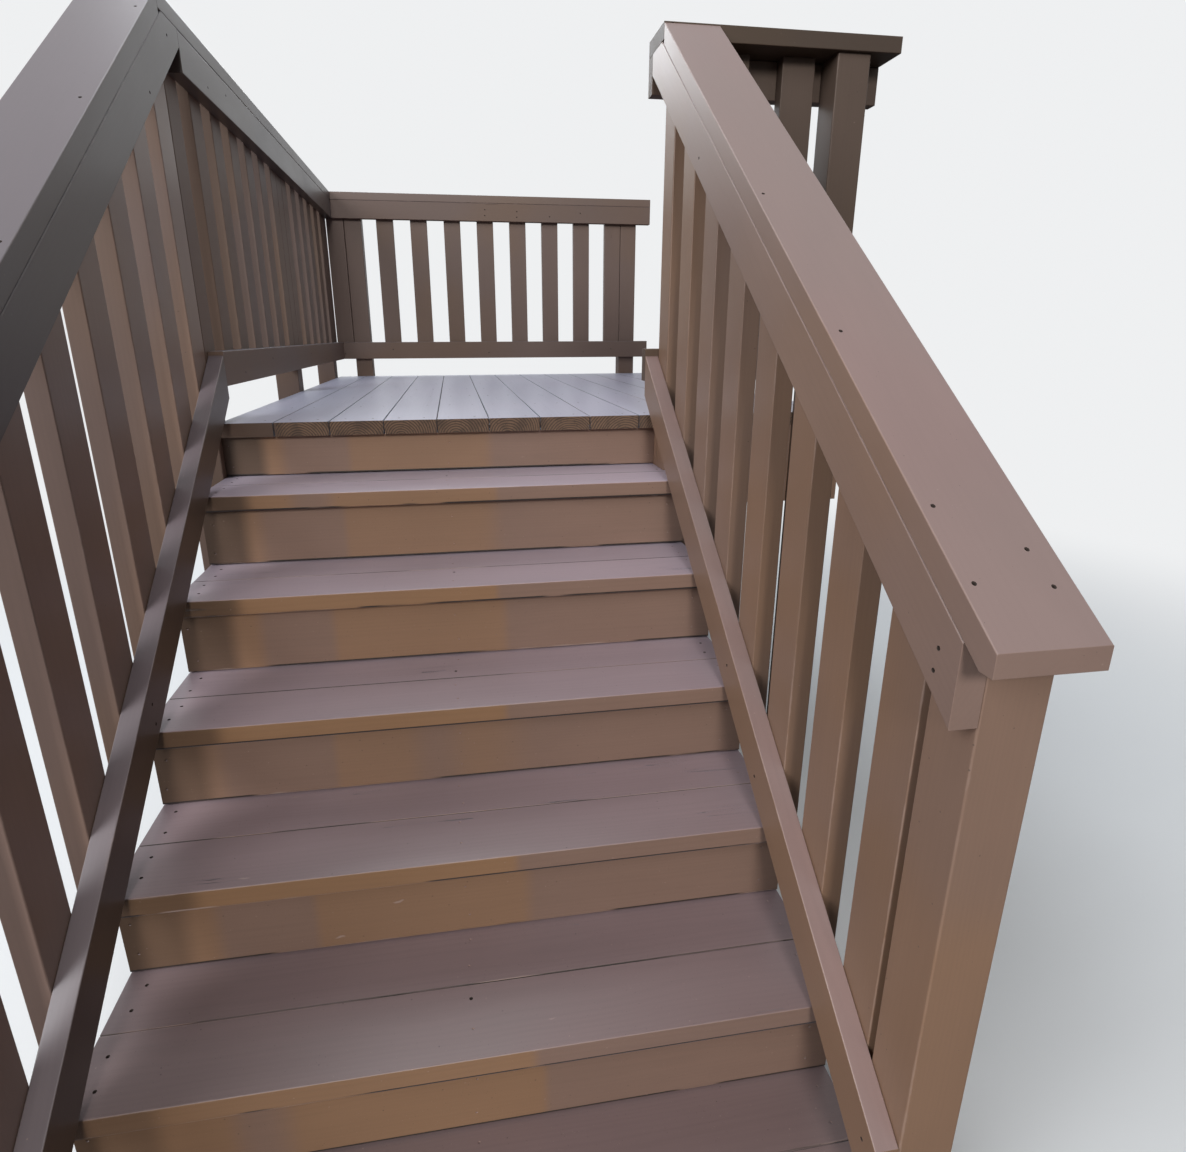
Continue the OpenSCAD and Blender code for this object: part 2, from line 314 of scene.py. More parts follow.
class StageLook(bpy.types.PropertyGroup):
    """Floor, backdrop and lamps"""

    floor: colour("Floor", "Colour of the floor", (0.86, 0.865, 0.87))
    bounce: colour(
        "Floor bounce", "Colour of the light that the floor throws back on the stairs",
        (0.14, 0.12, 0.11),
    )
    backdrop: colour("Backdrop", "Colour behind everything", (0.86, 0.87, 0.88))
    sky: lamp_level("Room light", "Strength of the even light from all round", 0.19)
    key: lamp_level("Front lamp", "Light on a white face turned towards the front lamp", 0.44)
    side: lamp_level("Side lamp", "Light on a white face turned towards the side lamp", 0.70)
    top: lamp_level("Top lamp", "Light on a white face turned towards the top lamp", 0.28)
    back: lamp_level("Back lamp", "Light on a white face turned towards the back lamp", 0.36)


# Boards


class Board:
    """One board: the planes that bound it, the way its grain runs and its middle."""

    def __init__(self, planes, grain, corners):
        self.planes = planes
        self.grain = grain
        self.low = Vector([min(corner[i] for corner in corners) for i in range(3)])
        self.high = Vector([max(corner[i] for corner in corners) for i in range(3)])

        def span(axis):
            reach = [corner.dot(axis) for corner in corners]
            return (max(reach) - min(reach)) / 2, (max(reach) + min(reach)) / 2, axis

        square = [axis for axis in (ACROSS, UP_THE_FLIGHT, PLUMB, RAKE_UP) if abs(axis.dot(grain)) < SQUARE]
        width, thickness = sorted(map(span, square[:2]), key=lambda found: -found[0])
        self.half, self.middle, self.axes = zip(span(grain), width, thickness)

    def holds(self, point, slack):
        """True if the point is in the board or within slack of it."""
        return all((point - at).dot(normal) < slack for at, normal in self.planes)

    def meets(self, low, high):
        """True if the board's box overlaps the box between two corners."""
        return all(self.low[i] < high[i] and low[i] < self.high[i] for i in range(3))

    def local(self, point):
        """The point's place along, across and through the board."""
        return [point.dot(axis) - mid for axis, mid in zip(self.axes, self.middle)]

    def seams(self, others):
        """Which of its two long sides have another board close by."""
        found = []
        for side in (-1, 1):
            spot = sum((axis * mid for axis, mid in zip(self.axes, self.middle)), Vector())
            spot += self.axes[1] * side * (self.half[1] + SEAM_REACH)
            found.append(float(any(other.holds(spot, 0.001) for other in others)))
        return found + [0.0]


def boards_of(node, grain):
    """The boards of a CAD node, each as the flat cuts that bound it."""
    shape = bmesh.new()
    shape.from_mesh(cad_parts[node].data)
    bmesh.ops.remove_doubles(shape, verts=shape.verts, dist=WELD)
    boards = []
    for start in shape.faces:
        if start.tag:
            continue
        start.tag = True
        found = [start]
        for face in found:
            for edge in face.edges:
                for other in edge.link_faces:
                    if not other.tag:
                        other.tag = True
                        found.append(other)
        planes = []
        for cut in CUTS:
            for normal in (cut, -cut):
                middles = [face.calc_center_median() for face in found if face.normal.dot(normal) > 0.9999]
                if middles:
                    planes.append((max(middles, key=lambda middle: middle.dot(normal)), normal))
        boards.append(Board(planes, grain, [corner.co.copy() for face in found for corner in face.verts]))
    shape.free()
    return boards


def mesh_of(shape, name):
    """A new mesh with the shape written to it, and the shape freed."""
    mesh = bpy.data.meshes.new(name)
    shape.to_mesh(mesh)
    shape.free()
    return mesh


def board_mesh(board, others, joint, cut_share):
    """A board's bare mesh, each face standing back by the joint, with its edges marked for rounding."""
    shape = bmesh.new()
    bmesh.ops.create_cube(shape, size=BLANK)
    for at, normal in board.planes:
        cut = bmesh.ops.bisect_plane(
            shape, geom=shape.verts[:] + shape.edges[:] + shape.faces[:], dist=1e-7,
            plane_co=at - normal * joint, plane_no=normal, clear_outer=True,
        )
        rim = [part for part in cut["geom_cut"] if isinstance(part, bmesh.types.BMEdge)]
        bmesh.ops.edgeloop_fill(shape, edges=rim)
    bmesh.ops.recalc_face_normals(shape, faces=shape.faces)
    weight = shape.edges.layers.float.new("bevel_weight_edge")
    for edge in shape.edges:
        start, end = (vertex.co for vertex in edge.verts)
        sawn = abs((end - start).normalized().dot(board.grain)) < ALIGNED
        close = any(other.holds((start + end) / 2, CLOSE_BOARD) for other in others)
        edge[weight] = cut_share if close or sawn else 1.0
    return mesh_of(shape, "board")


def pit_cutter(points):
    """Cones that cut the holes around sunk screw heads, dark where the paint hasn't covered them."""
    screws = bpy.context.scene.deck_screws
    shape = bmesh.new()
    for place, facing, state in points:
        wide, deep = PIT_SHARES[state]
        wide *= screws.pit
        deep *= screws.pit_depth
        turn = facing.to_track_quat("Z", "Y").to_matrix().to_4x4()
        made = bmesh.ops.create_cone(
            shape, cap_ends=True, segments=14, radius1=wide * PIT_TAPER[0], radius2=wide * PIT_TAPER[1],
            depth=PIT_ABOVE + deep,
            matrix=Matrix.Translation(place + facing * (PIT_ABOVE - deep) / 2) @ turn,
        )
        for face in {face for corner in made["verts"] for face in corner.link_faces}:
            face.material_index = int(state == "dark")
    return mesh_of(shape, "pits")


def block_mesh(low, high, name="block"):
    """A box between two corners."""
    shape = bmesh.new()
    place_at = Matrix.Translation((low + high) / 2) @ Matrix.Diagonal((high - low).to_4d())
    bmesh.ops.create_cube(shape, size=1, matrix=place_at)
    return mesh_of(shape, name)


def linked(name, data):
    """A new object for the mesh, lamp or camera, in the scene."""
    made = bpy.data.objects.new(name, data)
    bpy.context.scene.collection.objects.link(made)
    return made


def settled(source):
    """The object's mesh with its modifiers applied."""
    bpy.context.view_layer.update()
    graph = bpy.context.evaluated_depsgraph_get()
    return bpy.data.meshes.new_from_object(source.evaluated_get(graph), depsgraph=graph)


def apply_modifiers(piece):
    """Gives the piece the mesh that its modifiers make, and removes them."""
    bare, name = piece.data, piece.data.name
    finish = settled(piece)
    piece.modifiers.clear()
    piece.data = finish
    bpy.data.meshes.remove(bare)
    finish.name = name


def written(mesh, **layers):
    """Writes layers of values, one number or three of them for each of the mesh's points."""
    for name, values in layers.items():
        threes = len(values) > len(mesh.vertices)
        layer = mesh.attributes.new(name, "FLOAT_VECTOR" if threes else "FLOAT", "POINT")
        layer.data.foreach_set("vector" if threes else "value", values)


def grained(mesh, board, number, others=()):
    """Writes where the mesh's points lie in their board, for the paint to read."""
    count = len(mesh.vertices)
    written(
        mesh,
        timber=[value for vertex in mesh.vertices for value in board.local(vertex.co)],
        half=board.half * count,
        seams=board.seams(others) * count,
        above=[vertex.co.z - board.low.z for vertex in mesh.vertices],
        board=[number] * count,
    )


def handed_over(piece, node=None):
    """Fixes the piece to the stairs, and hides the CAD node that it stands for, if one is given."""
    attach(piece, "root")
    if node:
        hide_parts(node)


def dressed_board(board, others, points, arris, notches, paints):
    """One finished board: eased, cut away between each notch's corners and drilled for its screws."""
    sizes = bpy.context.scene.deck_boards
    base = linked("base", board_mesh(board, others, sizes.joint, sizes.cut_share))
    ease = base.modifiers.new("Ease", "BEVEL")
    ease.limit_method = "WEIGHT"
    ease.width = arris
    ease.segments = 3
    tools = [linked("notch", block_mesh(low, high)) for low, high in notches if board.meets(low, high)]
    pits = [linked("pits", pit_cutter(points))] if points else []
    for thing in [base] + pits:
        for paint in paints:
            thing.data.materials.append(paint)
    tools += pits
    for tool in tools:
        cut = base.modifiers.new("Cut", "BOOLEAN")
        cut.operation = "DIFFERENCE"
        cut.solver = "EXACT"
        cut.object = tool
    mesh = settled(base)
    for used in tools + [base]:
        data = used.data
        bpy.data.objects.remove(used)
        bpy.data.meshes.remove(data)
    return mesh


def dress(node, grain, arris=None, notches=()):
    """Replaces a CAD node by its finished boards."""
    arris = arris or bpy.context.scene.deck_boards.arris
    seed = random.Random(node)
    whole = bmesh.new()
    boards = boards_of(node, grain)
    paints = (paint_of(node), pit_grime())
    for board in boards:
        others = [other for other in boards if other is not board]
        points = [screw for screw in screw_places() if board.holds(screw[0], SCREW_SLACK)]
        mesh = dressed_board(board, others, points, arris, notches, paints)
        grained(mesh, board, seed.random(), others)
        whole.from_mesh(mesh)
        bpy.data.meshes.remove(mesh)
    mesh = mesh_of(whole, node + "_timber")
    for paint in paints:
        mesh.materials.append(paint)
    mesh.shade_smooth()
    mesh.set_sharp_from_angle(angle=SHARP_ANGLE)
    piece = linked(node + "_timber", mesh)
    piece.modifiers.new("Level", "WEIGHTED_NORMAL").keep_sharp = True
    apply_modifiers(piece)
    handed_over(piece, node)


# Screws: every place is a spot, the way the head faces and how it looks


@cache
def screw_places():
    """Every screw of the stairs."""
    return tread_screws() + riser_screws() + deck_screws() + cap_screws() + rail_screws()


def middle_of(node):
    low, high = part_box(node)
    return (low + high) / 2


def jitter(seed, size):
    return (seed.random() - 0.5) * 2 * size


def dark_or_painted(seed, open_share):
    return "dark" if seed.random() < open_share else "painted"


def tread_screws():
    """Two screws in each tread board over each stringer."""
    seed = random.Random(11)
    places = []
    for tread in TREADS:
        low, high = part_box(tread)
        for back in TREAD_ROWS:
            for stringer, (shift, open_share) in zip(STRINGERS, TREAD_LINES):
                x = middle_of(stringer).x + shift + jitter(seed, 0.005)
                spot = Vector((x, low.y + back + jitter(seed, 0.006), high.z))
                places.append((spot, PLUMB, dark_or_painted(seed, open_share)))
    return places


def riser_screws():
    """Two screws in each riser over each stringer."""
    seed = random.Random(12)
    places = []
    for board in boards_of("risers", ACROSS):
        front = board.middle[2] - board.half[2]
        for stringer, state in zip(STRINGERS, RISER_STATES):
            for height in RISER_HEIGHTS:
                z = board.middle[1] + height * board.half[1] + jitter(seed, 0.006)
                spot = Vector((middle_of(stringer).x + jitter(seed, 0.006), front, z))
                places.append((spot, -UP_THE_FLIGHT, state))
    return places


def deck_screws():
    """Two screws in each deck board over each joist and rim."""
    seed = random.Random(13)
    edge = bpy.context.scene.deck_screws.edge
    lines = [middle_of("rim_front").y, middle_of("rim_back").y]
    lines += [board.middle[2] for board in boards_of("joists", ACROSS)]
    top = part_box("deck_boards")[1].z
    places = []
    for board in boards_of("deck_boards", UP_THE_FLIGHT):
        inset = edge * min(1, board.half[1] / 0.07)
        for y in lines:
            for side in (-1, 1):
                x = board.middle[1] + side * (board.half[1] - inset) + jitter(seed, 0.004)
                spot = Vector((x, y + jitter(seed, 0.006), top))
                places.append((spot, PLUMB, dark_or_painted(seed, DECK_OPEN_SHARE)))
    return places


def cap_screws():
    """A row of screws along each cap into the rail under it, and two into each newel."""
    seed = random.Random(14)
    spacing = bpy.context.scene.deck_screws.spacing
    places = []
    for guard, (grain, inward) in GUARDS.items():
        board = boards_of(guard + "_cap", grain)[0]
        along, across, out = board.axes
        line = boards_of(guard + "_sub_rail", grain)[0].middle[2]
        top = board.middle[2] + board.half[2]
        foot = board.middle[0] - board.half[0]
        if guard in RAKED_CAP_ROWS:
            rows = [(reach, line) for reach in RAKED_CAP_ROWS[guard]]
            newel = middle_of("newel_" + guard.split("_")[1]).x
            rows += [(reach, newel - shift * inward.x) for reach, shift in NEWEL_ROWS]
        else:
            count = max(2, round(2 * board.half[0] / spacing))
            rows = [(2 * board.half[0] / count * (i + LEVEL_CAP_START), line) for i in range(count)]
        for reach, side in rows:
            slide = foot + reach + jitter(seed, 0.004)
            spot = along * slide + across * (side + jitter(seed, 0.004)) + out * top
            places.append((spot, out, "dark"))
    return places


def rail_screws():
    """The screws that still show in the rails, in front of the balusters and newels."""
    seed = random.Random(15)
    shown = bpy.context.scene.deck_screws.shown
    places = []
    for guard, (grain, inward) in GUARDS.items():
        run = ACROSS if grain is ACROSS else UP_THE_FLIGHT
        centres = []
        for upright in boards_of(guard + "_balusters", PLUMB):
            centres.append((sum(upright.middle[i] * upright.axes[i].dot(run) for i in (1, 2)), shown))
        if grain is RAKE:
            centres.append((middle_of("newel_" + guard.split("_")[1]).y, 1.0))
        for rail in (guard + "_sub_rail", guard + "_bottom_rail"):
            board = boards_of(rail, grain)[0]
            along, across, _ = board.axes
            face = max(corner.dot(inward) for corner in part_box(rail))
            for centre, open_share in centres:
                for shift, height in RAIL_ROWS:
                    reach = centre + shift + jitter(seed, 0.008)
                    side = across * (board.middle[1] + height * board.half[1] + jitter(seed, 0.006))
                    spot = side + along * ((reach - side.dot(run)) / along.dot(run))
                    spot += inward * (face - spot.dot(inward))
                    if seed.random() < open_share:
                        places.append((spot, inward, "dark"))
    return places


# Nodes


class Nodes:
    """Adds nodes to a tree. An input is given a plain value, or is linked to a socket."""

    def __init__(self, tree):
        self.tree = tree

    def plug(self, node, inputs):
        """Sets or links the node's inputs."""
        for key, value in dict(inputs).items():
            if isinstance(value, bpy.types.NodeSocket):
                self.tree.links.new(value, node.inputs[key])
            else:
                node.inputs[key].default_value = value
        return node

    def add(self, kind, inputs=(), **settings):
        node = self.tree.nodes.new(kind)
        for name, value in settings.items():
            setattr(node, name, value)
        return self.plug(node, inputs)

    def maths(self, operation, *values, clamp=False):
        inputs = enumerate(values)
        return self.add("ShaderNodeMath", inputs, operation=operation, use_clamp=clamp).outputs[0]

    def times(self, first, second):
        return self.maths("MULTIPLY", first, second)

    def minus(self, first, second):
        return self.maths("SUBTRACT", first, second)

    def under(self, value, limit):
        """1 where the value is under the limit."""
        return self.maths("LESS_THAN", value, limit)

    def scaled(self, value, factor, shift):
        """The value times the factor, plus the shift."""
        return self.maths("MULTIPLY_ADD", value, factor, shift)

    def eased(self, value, low, high, to_low=0.0, to_high=1.0):
        """Goes smoothly from one value to another between two limits."""
        inputs = {"Value": value, "From Min": low, "From Max": high, "To Min": to_low, "To Max": to_high}
        return self.add("ShaderNodeMapRange", inputs, interpolation_type="SMOOTHSTEP").outputs["Result"]

    def blend(self, amount, first, second, way="MIX"):
        inputs = {0: amount, 6: first, 7: second}
        return self.add("ShaderNodeMix", inputs, data_type="RGBA", blend_type=way).outputs[2]

    def noise(self, vector, scale, detail, roughness=0.55):
        inputs = {"Vector": vector, "Scale": scale, "Detail": detail, "Roughness": roughness}
        return self.add("ShaderNodeTexNoise", inputs).outputs["Fac"]

    def streaked(self, vector, along, across, detail, roughness):
        """Noise with its own scale along the grain and across it."""
        return self.noise(self.stretched(vector, along, across), 1.0, detail, roughness)

    def stretched(self, vector, along, across):
        scale = (along, across, across)
        return self.add("ShaderNodeVectorMath", {0: vector, 1: scale}, operation="MULTIPLY").outputs[0]

    def joined(self, *values):
        return self.add("ShaderNodeCombineXYZ", enumerate(values)).outputs[0]

    def split(self, vector):
        return self.add("ShaderNodeSeparateXYZ", {0: vector}).outputs

    def product(self, *values):
        made = values[0]
        for value in values[1:]:
            made = self.times(made, value)
        return made

    def cells(self, vector, scale):
        """Scattered points: how far off the nearest one is, and its random numbers."""
        made = self.add("ShaderNodeTexVoronoi", {"Vector": vector, "Scale": scale}).outputs
        return made["Distance"], self.add("ShaderNodeSeparateColor", {0: made["Color"]}).outputs

    def attribute(self, name, output="Vector"):
        """What is written on the board's points."""
        made = self.add("ShaderNodeAttribute", attribute_name=name, attribute_type="GEOMETRY")
        return made.outputs[output]

    def number(self):
        """The board's own number."""
        return self.attribute("board", "Fac")

    def board_place(self):
        """The place in the board, moved by the board's own number so that no two boards match."""
        shift = self.joined(*(self.times(self.number(), step) for step in (31.0, 17.0, 7.0)))
        return self.add("ShaderNodeVectorMath", {0: self.attribute("timber"), 1: shift}).outputs[0]

    def object_place(self):
        return self.add("ShaderNodeTexCoord").outputs["Object"]

    def placed(self, source, inputs=()):
        """The outputs of a node group put in this tree."""
        return self.add("ShaderNodeGroup", inputs, node_tree=source).outputs

    def give(self, **values):
        """Links the group's outputs, with spaces where a name has underscores."""
        outs = self.tree.nodes.new("NodeGroupOutput").inputs
        for name, value in values.items():
            self.tree.links.new(value, outs[name.replace("_", " ")])
        return self.tree


def group(name, inputs, outputs):
    """A shader node group: each input is a number or a colour by its default; Colour is a colour."""
    tree = bpy.data.node_groups.new(name, "ShaderNodeTree")
    for label, value in inputs.items():
        kind = "NodeSocketColor" if isinstance(value, tuple) else "NodeSocketFloat"
        tree.interface.new_socket(label, in_out="INPUT", socket_type=kind).default_value = value
    for label in outputs:
        kind = "NodeSocketColor" if label == "Colour" else "NodeSocketFloat"
        tree.interface.new_socket(label, in_out="OUTPUT", socket_type=kind)
    return Nodes(tree), tree.nodes.new("NodeGroupInput").outputs


@cache
def grain_group():
    """Grain seen through paint: fine streaks, growth rings, knots and long drying cracks."""
    n, ins = group(
        "Timber Grain", {"Ring Spacing": 0.007, "Crack Amount": 0.5, "Knot Amount": 0.5},
        ("Streaks", "Rings", "Knots", "Cracks", "Mottle"),
    )
    spot = n.board_place()
    local = n.split(n.attribute("timber"))
    # Rings around a pith that runs beside the board and sways along it
    side = n.minus(local[1], n.scaled(n.number(), 0.09, -0.045))
    low = n.minus(local[2], n.scaled(n.number(), -0.05, -0.015))
    far = n.maths("SQRT", n.maths("ADD", n.times(side, side), n.times(low, low)))
    far = n.scaled(n.streaked(spot, 1.6, 6.0, 2.0, 0.5), 0.030, far)
    far = n.scaled(n.streaked(spot, 5.0, 40.0, 1.0, 0.5), 0.0035, far)
    turn = n.times(n.maths("DIVIDE", far, ins["Ring Spacing"]), math.tau)
    rings = n.maths("POWER", n.scaled(n.maths("SINE", turn), 0.5, 0.5), 2.2)
    distance, picked = n.cells(n.stretched(spot, 2.2, 7.0), 1.0)
    knots = n.times(n.eased(distance, 0.02, 0.10, 1.0, 0.0), n.under(picked[0], ins["Knot Amount"]))
    # Cracks follow the middle level of a long noise, where a wider noise lets them
    split = n.streaked(spot, 1.1, 85.0, 3.0, 0.45)
    thin = n.eased(n.maths("ABSOLUTE", n.minus(split, 0.5)), 0.002, 0.009, 1.0, 0.0)
    where = n.streaked(spot, 2.3, 13.0, 2.0, 0.5)
    cracks = n.times(thin, n.maths("GREATER_THAN", where, n.scaled(ins["Crack Amount"], -0.22, 0.76)))
    return n.give(
        Streaks=n.streaked(spot, 2.5, 260.0, 4.0, 0.62), Rings=rings, Knots=knots, Cracks=cracks,
        Mottle=n.streaked(spot, 3.2, 9.0, 3.0, 0.6),
    )


@cache
def arris_group():
    """How near a point is to the board's long edges, its joints, its foot and its ends."""
    n, ins = group(
        "Board Arris", {"Reach": 0.006},
        ("Arris", "Seam", "Foot", "Chipped Foot", "Low Side", "End", "End Face"),
    )
    spot = n.board_place()
    size = n.split(n.attribute("half"))
    local = n.split(n.attribute("timber"))
    gaps = [n.minus(size[i], n.maths("ABSOLUTE", local[i])) for i in range(3)]
    ragged = n.streaked(spot, 30.0, 90.0, 3.0, 0.65)
    reach = n.times(ins["Reach"], n.scaled(ragged, 2.6, -0.7))
    corner = n.maths("DIVIDE", n.maths("MAXIMUM", gaps[1], gaps[2]), n.maths("MAXIMUM", reach, 0.0006))
    part = n.streaked(spot, 3.1, 20.0, 2.0, 0.5)
    arris = n.times(n.maths("SUBTRACT", 1.0, corner, clamp=True), n.eased(part, 0.44, 0.56, 0.25, 1.0))
    seams = n.split(n.attribute("seams"))
    near_low = n.times(seams[0], n.under(n.maths("ADD", size[1], local[1]), 0.0011))
    near_high = n.times(seams[1], n.under(n.minus(size[1], local[1]), 0.0011))
    run = n.streaked(spot, 2.0, 0.4, 3.0, 0.6)
    open_run = n.eased(run, 0.44, 0.48)
    foot = n.under(n.attribute("above", "Fac"), FOOT_LINE)
    return n.give(
        Arris=arris,
        Seam=n.times(n.maths("MAXIMUM", near_low, near_high), open_run),
        Foot=n.times(foot, open_run),
        Chipped_Foot=n.times(foot, n.eased(run, 0.40, 0.36)),
        Low_Side=n.under(local[2], 0.0),
        End=n.eased(gaps[0], 0.0, 0.05, 1.0, 0.0),
        End_Face=n.under(gaps[0], 0.0009),
    )


@cache
def speck_group():
    """Dust, grit and small scuffs lying on the paint."""
    n, ins = group("Paint Specks", {"Amount": 0.3}, ("Light", "Dark", "Chips"))
    spot = n.board_place()

    def dots(scale, size):
        distance, picked = n.cells(spot, scale)
        near = n.eased(distance, size * 0.4, size, 1.0, 0.0)
        return [n.times(near, n.under(picked[i], n.times(ins["Amount"], 0.30))) for i in (0, 1)]

    light_dots, dark_dots = (n.maths("MAXIMUM", *pair) for pair in zip(dots(84.0, 0.14), dots(270.0, 0.21)))
    bent = n.joined(0.0, n.times(n.noise(spot, 30.0, 2.0), 0.02))
    slid = n.add("ShaderNodeVectorMath", {0: spot, 1: bent}).outputs[0]
    distance, picked = n.cells(n.stretched(slid, 9.0, 42.0), 1.0)
    few = n.under(picked[0], n.times(ins["Amount"], 0.10))
    chips = n.times(n.eased(distance, 0.06, 0.11, 1.0, 0.0), few)
    return n.give(Light=light_dots, Dark=dark_dots, Chips=chips)


@cache
def band_group():
    """Painted sunlight in soft upright warm bands across the flight, and painted shadow at its left end."""
    n, ins = group("Warm Bands", {"Softness": 0.018}, ("Bands", "Shade"))
    across = n.split(n.object_place())[0]
    level = n.noise(n.joined(n.times(across, 2.7), n.times(n.number(), 0.5)), 1.0, 1.0, 0.3)
    bands = n.eased(level, n.minus(0.5, ins["Softness"]), n.maths("ADD", 0.5, ins["Softness"]))
    # Painted shadow of the left guard on the left end of each board
    from_left = n.scaled(n.number(), -0.05, n.minus(across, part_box("risers")[0].x))
    return n.give(
        Bands=n.times(bands, n.scaled(n.number(), 0.5, 0.5)),
        Shade=n.eased(from_left, 0.07, 0.115, 1.0, 0.0),
    )


@cache
def end_grain_group():
    """Sawn end of a softwood board: growth rings and drying checks."""
    n, ins = group(
        "End Grain", {"Wood": (0.3, 0.2, 0.1, 1.0), "Dark": (0.05, 0.03, 0.02, 1.0)}, ("Colour", "Height"),
    )
    rings = n.placed(grain_group(), {"Ring Spacing": 0.0066})["Rings"]
    spot = n.board_place()
    fleck = n.eased(n.streaked(spot, 1.0, 150.0, 3.0, 0.6), 0.56, 0.70)
    patch = n.eased(n.streaked(spot, 1.0, 22.0, 3.0, 0.55), 0.42, 0.66)
    base = n.blend(n.scaled(rings, 0.85, 0.05), ins["Wood"], ins["Dark"])
    base = n.blend(n.times(fleck, 0.55), base, ins["Dark"])
    base = n.blend(n.times(patch, 0.45), base, ins["Dark"])
    return n.give(Colour=base, Height=n.scaled(rings, -0.7, n.times(fleck, -0.6)))


# Materials


def rgba(tint, *shares):
    """The colour, weaker or stronger by one share, or by one for each of its three parts."""
    shares = shares * 3 if len(shares) == 1 else shares or (1.0, 1.0, 1.0)
    return (*(part * by for part, by in zip(tint, shares)), 1.0)


def surface(name):
    """A new material, its nodes and its shader."""
    material = bpy.data.materials.new(name)
    material.use_nodes = True
    tree = material.node_tree
    return material, Nodes(tree), tree.nodes["Principled BSDF"]


@cache
def painted(name):
    """Satin paint on timber, paler on top as painted sky light, and rubbed along its arrises."""
    side, top, (show, cracks, specks), wear, gloss, shine, low_edge_highlight, sheen = PAINTS[name]
    colours = bpy.context.scene.deck_paint
    side, top = getattr(colours, side), getattr(colours, top)
    grime_and_shade, worn = rgba(colours.grime_and_shade), rgba(colours.worn)
    material, n, shader = surface(name)
    grain = n.placed(grain_group(), {"Crack Amount": cracks, "Knot Amount": 0.2})
    arris = n.placed(arris_group(), {"Reach": 0.0045})
    speck = n.placed(speck_group(), {"Amount": specks})
    at = n.object_place()
    across, depth, _ = n.split(at)
    normal = n.add("ShaderNodeNewGeometry").outputs["Normal"]
    upward = n.eased(n.split(normal)[2], 0.35, 0.75)
    drift = n.eased(n.noise(at, 1.9, 2.0, 0.4), 0.40, 0.62)
    tones = [
        n.scaled(n.number(), 0.08, 0.96),
        n.scaled(grain["Streaks"], 0.5 * show, 1 - 0.25 * show),
        n.scaled(grain["Rings"], -0.14 * show, 1 + 0.04 * show),
        n.scaled(grain["Mottle"], 0.18, 0.91),
    ]
    # Rubbed arrises are real wear; rubbing the low side more paints a highlight along a cap's lower edge
    rubbed_and_highlight = n.product(arris["Arris"], wear, n.scaled(arris["Low Side"], low_edge_highlight - 1, 1.0))
    layers = [
        (rubbed_and_highlight, worn),
        (n.times(grain["Knots"], 0.14), rgba(side, 0.5)),
        (n.times(grain["Cracks"], 0.8), grime_and_shade),
        (n.times(arris["Seam"], 0.9), grime_and_shade),
    ]

    # The sides' colour and the colour of what faces up, paler as painted sky light; on the flight both
    # change with the height as painted light and shade
    tops = n.blend(drift, rgba(top), rgba(top, 1.03, 0.99, 1.0))
    if name not in BANDED:
        sides = n.blend(drift, rgba(side), rgba(side, 1.06, 1.0, 0.88))
    else:
        climb = n.eased(depth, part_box(TREADS[-1])[0].y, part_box(TREADS[0])[1].y)
        band = n.placed(band_group())
        # Painted sunlight: warm bands on the sides. Painted shadow of the left guard darkens the left end
        # of each board, more on the higher steps
        sides = n.blend(band["Bands"], rgba(side), rgba(side, 1.22, 1.08, 0.74))
        sides = n.blend(n.times(band["Shade"], n.scaled(climb, 0.34, 0.40)), sides, grime_and_shade)
        # Painted light: the tread tops turn paler towards the top of the flight
        tops = n.blend(climb, tops, rgba(colours.upper_lit_tread))
        # Painted shade darkens the boards near their ends, and painted light brightens the flight towards
        # its top
        tones += [n.scaled(arris["End"], -0.20, 1.0), n.scaled(climb, 0.20, 0.90)]
        level = n.minus(1.0, upward)
        # A dark joint line along each riser's foot and a painted shadow line along each nosing's foot, with
        # chipped paint along them
        layers += [
            (n.times(arris["Foot"], level), grime_and_shade),
            (n.product(arris["Chipped Foot"], level, 0.7), worn),
        ]
    layers += [
        (n.times(speck["Dark"], 0.6), grime_and_shade),
        (n.times(speck["Light"], 0.4), worn),
        (n.times(speck["Chips"], 0.7), worn),
    ]
    tone = n.product(*tones)
    tone = n.add("ShaderNodeCombineColor", {0: tone, 1: tone, 2: tone}).outputs[0]
    base = n.blend(1.0, n.blend(upward, sides, tops), tone, "MULTIPLY")
    for mask, tint in layers:
        base = n.blend(mask, base, tint)
    rough = n.scaled(grain["Mottle"], 0.12, gloss - 0.06)
    height = n.scaled(grain["Cracks"], -1.3, n.times(grain["Streaks"], 0.9 * show))

    if name in BARE_ENDED:
        end = n.placed(end_grain_group(), {"Wood": rgba(colours.bare), "Dark": grime_and_shade})
        open_side = n.maths("GREATER_THAN", across, middle_of("stringer_left").x + BARE_FROM)
        unpainted = n.times(arris["End Face"], open_side)
        # Painted shade: the painted deck board ends darken towards the grime colour; the bare ones take the
        # end grain
        base = n.blend(n.times(arris["End Face"], 0.65), base, grime_and_shade)
        base = n.blend(unpainted, base, end["Colour"])
        rough = n.maths("MAXIMUM", rough, n.times(unpainted, 0.85))
        height = n.maths("ADD", height, n.times(unpainted, end["Height"]))

    bump = n.add("ShaderNodeBump", {"Height": height, "Distance": 0.0008, "Strength": 0.6})
    n.plug(shader, {
        "Base Color": base, "Roughness": rough, "Normal": bump.outputs[0], "Specular IOR Level": shine,
        "Sheen Weight": sheen, "Sheen Roughness": 0.4, "Sheen Tint": (0.62, 0.74, 1.0, 1.0),
    })
    return material


def paint_of(node):
    """The paint of a node's boards."""
    return painted(next((paint for paint, nodes in PAINTED.items() if node in nodes), "Rail Paint"))


